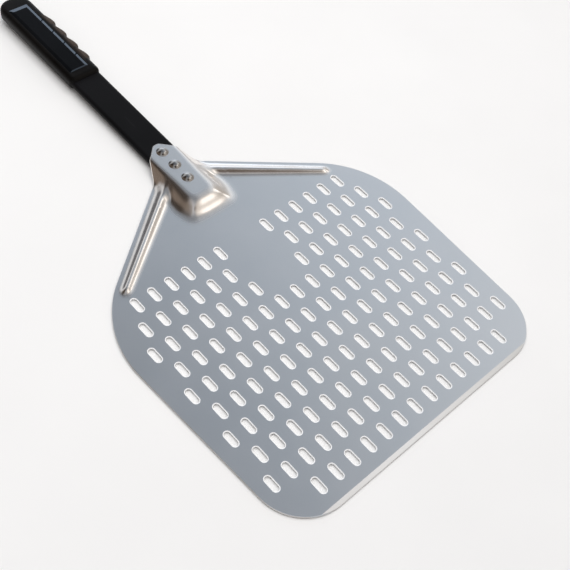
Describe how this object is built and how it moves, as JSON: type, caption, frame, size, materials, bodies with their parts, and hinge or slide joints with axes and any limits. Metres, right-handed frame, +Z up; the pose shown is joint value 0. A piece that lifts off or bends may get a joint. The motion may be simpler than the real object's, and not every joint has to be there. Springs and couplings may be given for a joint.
{
  "type": "pizza peel",
  "caption": "Perforated aluminium pizza peel with a raised riveted neck, a flat-oval handle tube and a black grip with finger ridges, for sliding pizzas in and out of an oven.",
  "frame": {"origin": "on the blade's flat underside, on the centre line and midway along the field of slots", "axes": "+Z up out of the blade's upper face, +Y along the handle away from the front edge, +X to the right, the side with the finger ridges"},
  "size_m": [0.3058, 0.5867, 0.0175],
  "materials": {
    "blade_aluminium": "fine satin anodised, brighter on the pressed neck and ribs",
    "black_coating": "matt black",
    "insert_aluminium": "plain",
    "rivet_steel": "polished",
    "grip_plastic": "satin black",
    "panel_plastic": "satin black with glossier bevels"
  },
  "bodies": {
    "root": {"blade": "blade_aluminium", "handle_tube": "black_coating", "neck_insert": "insert_aluminium", "rivet_front": "rivet_steel", "rivet_middle": "rivet_steel", "rivet_rear": "rivet_steel", "grip_body": "grip_plastic", "grip_panel": "panel_plastic"}
  },
  "joints": []
}
